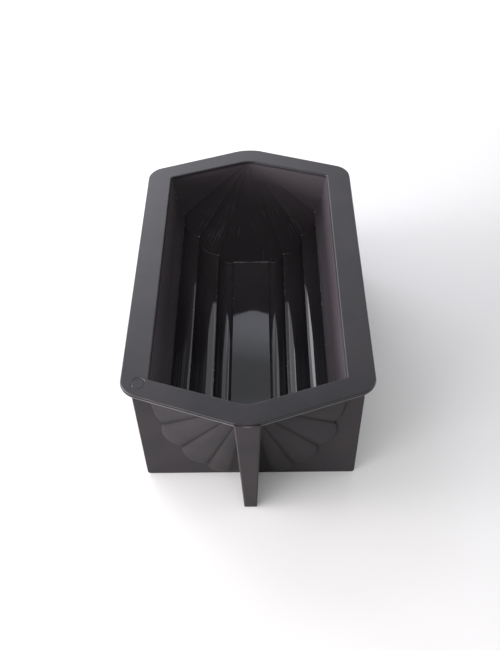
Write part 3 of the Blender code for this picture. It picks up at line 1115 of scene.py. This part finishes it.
@dataclass(frozen=True)
class RimFlange:
    """The flat pointed rim round the opening, with its parting line and small recessed ring."""

    finish: bpy.types.Material
    flash_highlight_finish: bpy.types.Material
    top: float = 0.0800
    thickness: float = 0.0020
    flash_width: float = 0.00035     # of the parting line, which stands out round the lower edge
    flash_height: float = 0.00040
    flash_root: float = 0.0010       # how far it runs into the rim
    outline: Hexagon = Hexagon(0.0646, 0.09095, 0.1138, 0.0110, 0.0240)
    opening: Hexagon = Hexagon(0.0500, 0.08335, 0.1000, 0.0012, 0.0120)
    wall_lean: float = 0.1310        # how far the opening narrows, for each length down
    edge_round: float = 0.0004
    lip_round: float = 0.0007
    round_steps: int = 4
    ring_place: tuple[float, float] = (-0.0552, -0.0860)
    ring_radius: float = 0.0039
    ring_line: float = 0.0008
    ring_depth: float = 0.00018
    ring_slopes: tuple[float, float] = (0.0002, 0.00015)
    ring_steps: int = 72
    cutter_height: float = 0.002

    def lean_in(self, verts: list[bmesh.types.BMVert]) -> None:
        """Narrow the opening's lower edge, so that it carries on the cavity's slope.

        Args:
            verts: The lower edge's vertices.
        """
        narrowed = 1.0 - self.thickness * self.wall_lean / self.opening.half_width
        for vert in verts:
            vert.co.x *= narrowed
            beyond = abs(vert.co.y) - self.opening.crease
            if beyond > 0:
                vert.co.y = math.copysign(self.opening.crease + beyond * narrowed, vert.co.y)

    def flash(self) -> bpy.types.Object:
        """Make the parting line, a low band round the rim's lower edge, in a pale finish that is a painted
        highlight.

        Returns:
            The band, for the rim.
        """
        shape = bmesh.new()
        foot = self.top - self.thickness
        outer = self.outline.draw(shape, foot)
        inner = self.outline.grown(-self.flash_width - self.flash_root).draw(shape, foot)
        ring = bmesh.ops.bridge_loops(shape, edges=outer + inner)["faces"]
        thicken(shape, ring, Vector((0.0, 0.0, self.flash_height)))
        for face in shape.faces:
            face.material_index = 1
        return finish_piece("flash_band", shape, [self.finish, self.flash_highlight_finish])

    def ring_cutter(self) -> bpy.types.Object:
        """Make the cutter of the recessed ring, a spun profile that narrows downwards.

        Returns:
            The cutter.
        """
        shape = bmesh.new()
        outer = self.ring_radius
        inner = outer - self.ring_line
        inside, outside = self.ring_slopes
        high = self.cutter_height
        corners = ((inner, high), (outer, high), (outer, 0.0), (outer - outside, -self.ring_depth),
                   (inner + inside, -self.ring_depth), (inner, 0.0))
        verts = [shape.verts.new((x, 0.0, z)) for x, z in corners]
        edges = [shape.edges.new((verts[i - 1], verts[i])) for i in range(len(verts))]
        bmesh.ops.spin(shape, geom=verts + edges, axis=(0, 0, 1), cent=(0, 0, 0), angle=2 * math.pi,
                       steps=self.ring_steps, use_merge=True)
        bmesh.ops.translate(shape, verts=shape.verts, vec=(*self.ring_place, self.top))
        return finish_piece("ring_cutter", shape, [])

    def build(self) -> bpy.types.Object:
        """Make the rim.

        Returns:
            The piece.
        """
        shape = bmesh.new()
        inner = shape.verts.layers.int.new("inner")
        outer_edges = self.outline.grown(-self.flash_width).draw(shape, self.top)
        inner_edges = self.opening.draw(shape, self.top)
        for edge in inner_edges:
            for vert in edge.verts:
                vert[inner] = 1
        ring = bmesh.ops.bridge_loops(shape, edges=outer_edges + inner_edges)["faces"]
        low = thicken(shape, ring, Vector((0.0, 0.0, -self.thickness)))
        self.lean_in([vert for vert in low if vert[inner]])
        bmesh.ops.recalc_face_normals(shape, faces=shape.faces)
        rounded = [edge for edge in shape.edges
                   if not edge.verts[0][inner] and not edge.verts[1][inner]
                   and abs(edge.verts[0].co.z - edge.verts[1].co.z) < NEAR]
        lip = [edge for edge in shape.edges
               if all(vert[inner] and abs(vert.co.z - self.top) < NEAR for vert in edge.verts)]
        for edges, width in ((rounded, self.edge_round), (lip, self.lip_round)):
            bevel(shape, edges, width, self.round_steps)
        piece = finish_piece("pointed_rim", shape, [self.finish, self.flash_highlight_finish])
        for tool, cut in ((self.ring_cutter(), Cut.TAKE_AWAY), (self.flash(), Cut.UNITE)):
            carve(piece, tool, cut)
            bpy.data.objects.remove(tool, do_unlink=True)
        return hand_over(piece, Slot.SATIN, "rim_flange")


@dataclass(frozen=True)
class CrossPanel:
    """A straight wall across the mould that carries one end of it."""

    end: End
    finish: bpy.types.Material
    face: float = 0.0876             # its outer side, from the middle of the mould
    thickness: float = 0.0034
    height: float = 0.0780
    foot_half_width: float = 0.05875
    top_half_width: float = 0.05935
    corner_radius: float = 0.0018
    edge_round: float = 0.0005
    corner_steps: int = 8
    edge_steps: int = 3

    def build(self, core: bpy.types.Object) -> bpy.types.Object:
        """Make the panel, cut to the body.

        Args:
            core: The body's form, which is cut from the panel.

        Returns:
            The piece.
        """
        shape = bmesh.new()
        back = self.end.value * (self.face - self.thickness)
        corners = ((-self.foot_half_width, 0.0), (self.foot_half_width, 0.0),
                   (self.top_half_width, self.height), (-self.top_half_width, self.height))
        verts = [shape.verts.new((x, back, z)) for x, z in corners]
        shape.faces.new(verts)
        bevel(shape, verts[:2], self.corner_radius, self.corner_steps, Round.CORNERS)
        thicken(shape, shape.faces[:], Vector((0.0, self.end.value * self.thickness, 0.0)))
        bmesh.ops.recalc_face_normals(shape, faces=shape.faces)
        edges = [edge for edge in shape.edges if abs(edge.verts[0].co.y - edge.verts[1].co.y) < NEAR]
        bevel(shape, edges, self.edge_round, self.edge_steps)
        piece = finish_piece(self.end.word + "_panel", shape, [self.finish])
        carve(piece, core)
        return hand_over(piece, Slot.SATIN, self.end.word + "_support_panel")


@dataclass(frozen=True)
class Fin:
    """The tapered fin under one point of the rim."""

    end: End
    finish: bpy.types.Material
    panel_face: float = 0.0876
    height: float = 0.0789           # its top runs into the rim
    foot_reach: float = 0.1100
    top_reach: float = 0.1121
    foot_thickness: float = 0.0071
    top_thickness: float = 0.0131
    root_round: float = 0.0010       # of the hollow where it meets the panel
    edge_round: float = 0.0009
    inset: float = 0.0010            # how far it runs into the panel
    flare_margin: float = 1.01       # the flare's width for each width of the hollow
    root_steps: int = 6
    edge_steps: int = 4

    def build(self, core: bpy.types.Object) -> bpy.types.Object:
        """Make the fin, cut to the body.

        Args:
            core: The body's form, which is cut from the fin.

        Returns:
            The piece.
        """
        shape = bmesh.new()
        half = self.foot_thickness / 2
        flare = half + self.root_round * self.flare_margin
        plan = ((-flare, self.panel_face - self.inset), (flare, self.panel_face - self.inset),
                (flare, self.panel_face), (half, self.panel_face), (half, self.foot_reach),
                (-half, self.foot_reach), (-half, self.panel_face), (-flare, self.panel_face))
        verts = [shape.verts.new((x, self.end.value * y, 0.0)) for x, y in plan]
        shape.faces.new(verts)
        # Corners 3 and 6 are the hollows where the fin meets the panel
        bevel(shape, [verts[3], verts[6]], self.root_round, self.root_steps, Round.CORNERS)
        high = thicken(shape, shape.faces[:], Vector((0.0, 0.0, self.height)))
        for vert in high:
            vert.co.x += math.copysign((self.top_thickness - self.foot_thickness) / 2, vert.co.x)
            if abs(vert.co.y) > self.foot_reach - NEAR:
                vert.co.y = self.end.value * self.top_reach
        bmesh.ops.recalc_face_normals(shape, faces=shape.faces)
        front = [edge for edge in shape.edges
                 if all(abs(vert.co.y) > self.foot_reach - NEAR for vert in edge.verts)
                 and min(vert.co.z for vert in edge.verts) < NEAR]
        bevel(shape, front, self.edge_round, self.edge_steps)
        piece = finish_piece(self.end.word + "_point_fin", shape, [self.finish])
        carve(piece, core)
        return hand_over(piece, Slot.SATIN, self.end.word + "_fin")


# The studio


@dataclass(frozen=True)
class Softbox:
    """A soft light that faces the mould.

    Its middle and its extent are angles in degrees, as seen from the mould. The azimuth is 0 behind
    the mould and grows towards its left; the brightness is the radiance of the light's face.
    """

    name: str
    azimuth: float
    elevation: float
    breadth: float
    rise: float
    brightness: float
    colour: Colour = (1.0, 1.0, 1.0)
    distance: float = 1.5
    aim_height: float = 0.05

    def hang(self) -> bpy.types.Object:
        """Put the light in the scene.

        Returns:
            The light.
        """
        data = bpy.data.lights.new(self.name, "AREA")
        data.shape = "RECTANGLE"
        reach = self.distance * math.cos(math.radians(self.elevation))
        data.size = 2 * reach * math.tan(math.radians(self.breadth / 2))
        data.size_y = 2 * self.distance * math.tan(math.radians(self.rise / 2))
        data.energy = self.brightness * math.pi * data.size * data.size_y
        data.color = self.colour
        lamp = bpy.data.objects.new(self.name, data)
        turn = math.radians(self.azimuth)
        rise = math.radians(self.elevation)
        level = math.cos(rise)
        towards = Vector((-math.sin(turn) * level, math.cos(turn) * level, math.sin(rise)))
        lamp.rotation_mode = "QUATERNION"
        lamp.rotation_quaternion = towards.to_track_quat("Z", "Y")
        lamp.location = towards * self.distance + Vector((0.0, 0.0, self.aim_height))
        bpy.context.scene.collection.objects.link(lamp)
        return lamp


BACKDROP_LIGHT: Colour = (0.98, 0.98, 1.05)
COOL_LIGHT: Colour = (0.97, 0.98, 1.06)
WARM_LIGHT: Colour = (1.03, 0.99, 1.0)


@dataclass(frozen=True)
class Studio:
    """The pale floor, the soft lights and the camera."""

    floor_size: float = 6.0
    sky: Colour = (1.0, 1.0, 1.0)
    sky_brightness: float = 0.20
    lights: tuple[Softbox, ...] = (
        Softbox("high_back_middle", 4.0, 51.0, 32.0, 5.0, 2.5, (0.94, 0.97, 1.10)),
        Softbox("lower_middle_back", 4.0, 48.2, 32.0, 0.6, 1.6, (0.94, 0.98, 1.08)),
        Softbox("middle_back", 4.0, 46.4, 32.0, 3.0, 0.8, (0.94, 0.98, 1.06)),
        Softbox("high_back_left", 40.0, 51.7, 40.0, 6.6, 3.0, COOL_LIGHT),
        Softbox("high_back_right", -18.0, 51.7, 12.0, 6.6, 1.0, COOL_LIGHT),
        Softbox("left_back", 38.0, 46.7, 36.0, 3.4, 2.3, COOL_LIGHT),
        Softbox("backdrop_left_high", 36.0, 38.0, 42.0, 14.0, 2.0, BACKDROP_LIGHT),
        Softbox("backdrop_left_low", 38.0, 22.0, 46.0, 18.0, 6.4, BACKDROP_LIGHT),
        Softbox("backdrop_middle", 7.0, 29.5, 26.0, 31.0, 2.2, BACKDROP_LIGHT),
        Softbox("backdrop_right_high", -25.0, 41.3, 28.0, 14.4, 1.4, BACKDROP_LIGHT),
        Softbox("backdrop_right_low", -21.5, 24.0, 21.0, 20.0, 1.2, BACKDROP_LIGHT),
        Softbox("low_right_light", -84.0, 12.0, 46.0, 18.0, 6.0),
        Softbox("low_left_light", 84.0, 16.0, 40.0, 18.0, 11.0, WARM_LIGHT),
        Softbox("grazing_left_light", 107.0, 7.5, 40.0, 12.0, 44.0, WARM_LIGHT),
        Softbox("front_left_light", 136.0, 12.0, 18.0, 18.0, 14.0, WARM_LIGHT),
        Softbox("front_light", 185.0, 46.0, 70.0, 18.0, 1.7),
        Softbox("high_front_light", 182.0, 67.0, 60.0, 18.0, 2.5),
    )
    camera_place: tuple[float, float, float] = (0.008186, -0.341444, 0.397553)
    camera_pitch: float = 0.82285
    camera_roll: float = -0.0293
    camera_yaw: float = -0.02418
    camera_lens: float = 45.03
    sensor_width: float = 36.0

    def lay_floor(self) -> bpy.types.Object:
        """Lay the floor that the mould stands on.

        Returns:
            The floor.
        """
        shape = bmesh.new()
        bmesh.ops.create_grid(shape, x_segments=1, y_segments=1, size=self.floor_size / 2)
        floor = finish_piece("studio_floor", shape, [PaleFloor().material()])
        return floor

    def light_sky(self) -> None:
        """Light the room softly from all round."""
        world = bpy.data.worlds.new("soft_room")
        world.use_nodes = True
        backdrop = world.node_tree.nodes["Background"]
        backdrop.inputs["Color"].default_value = (*self.sky, 1.0)
        backdrop.inputs["Strength"].default_value = self.sky_brightness
        bpy.context.scene.world = world

    def place_camera(self) -> bpy.types.Object:
        """Place the camera at the photograph's angle.

        Returns:
            The camera.
        """
        data = bpy.data.cameras.new("camera")
        data.lens = self.camera_lens
        data.sensor_width = self.sensor_width
        camera = bpy.data.objects.new("camera", data)
        yaw, pitch, roll = self.camera_yaw, self.camera_pitch, self.camera_roll
        flat = math.cos(pitch)
        forward = Vector((math.sin(yaw) * flat, math.cos(yaw) * flat, -math.sin(pitch)))
        level = Vector((math.cos(yaw), -math.sin(yaw), 0.0))
        upright = level.cross(forward)
        right = level * math.cos(roll) + upright * math.sin(roll)
        up = upright * math.cos(roll) - level * math.sin(roll)
        turned = Matrix((right, up, -forward)).transposed().to_4x4()
        camera.matrix_world = Matrix.Translation(self.camera_place) @ turned
        bpy.context.scene.collection.objects.link(camera)
        bpy.context.scene.camera = camera
        return camera

    def build(self) -> None:
        """Set up the whole studio."""
        self.lay_floor()
        self.light_sky()
        for light in self.lights:
            light.hang()
        self.place_camera()
        bpy.context.scene.view_settings.view_transform = "Standard"


def main() -> None:
    """Build the mould and its studio."""
    logging.basicConfig(level=logging.INFO, format="%(message)s")
    outer = OUTER_SILICONE.material()
    body = LoafBody(FlutedSection(), GlossSilicone().material(), outer)
    body.build()
    RimFlange(RIM_SILICONE.material(), FLASH_PAINTED_HIGHLIGHT.material()).build()
    core = body.core()
    for end in End:
        CrossPanel(end, outer).build(core)
        Fin(end, outer).build(core)
    bpy.data.objects.remove(core, do_unlink=True)
    Studio().build()


if __name__ == "__main__":
    main()
